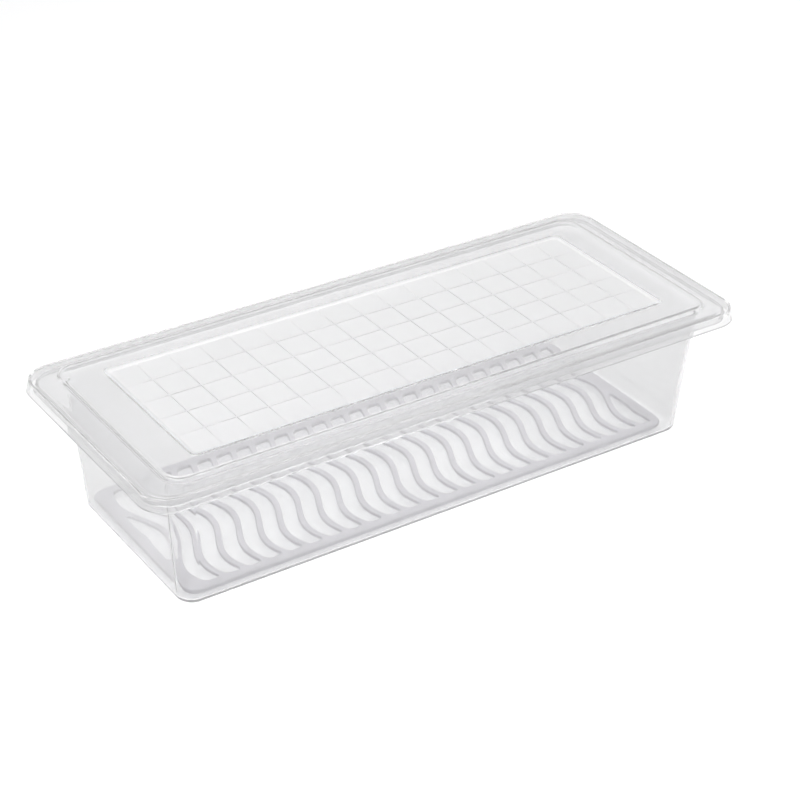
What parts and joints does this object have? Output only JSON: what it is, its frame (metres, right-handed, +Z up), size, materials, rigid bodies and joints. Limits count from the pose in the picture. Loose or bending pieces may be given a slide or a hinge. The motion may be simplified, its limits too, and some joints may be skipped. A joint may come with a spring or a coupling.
{
  "type": "fridge bin with drain tray and lid",
  "caption": "Long clear food storage box for a fridge, with tapered walls, a wavy-slotted drain tray inside and a lift-off lid with a gridded top panel.",
  "frame": {"origin": "middle of the flat base, on the surface the bin stands on", "axes": "+X along the length, +Y towards the back long side, +Z up"},
  "size_m": [0.3, 0.124, 0.067],
  "materials": {
    "tub_clear_plastic": "clear moulded plastic, glossy",
    "tray_frosted_plastic": "translucent moulded plastic, slightly milky",
    "lid_clear_plastic": "clear moulded plastic, glossy"
  },
  "bodies": {
    "tub": {"tub": "tub_clear_plastic"},
    "drain_tray": {"drain_tray": "tray_frosted_plastic"},
    "lid": {"lid": "lid_clear_plastic"}
  },
  "joints": [
    {"name": "lid_lift", "type": "slide", "parent": "tub", "child": "lid", "axis": [0, 0, 1], "range_m": [0, 0.15]},
    {"name": "tray_lift", "type": "slide", "parent": "tub", "child": "drain_tray", "axis": [0, 0, 1], "range_m": [0, 0.075]}
  ],
  "couplings": [
    {"joint": "tray_lift", "follows": "lid_lift", "ratio": 0.5}
  ]
}
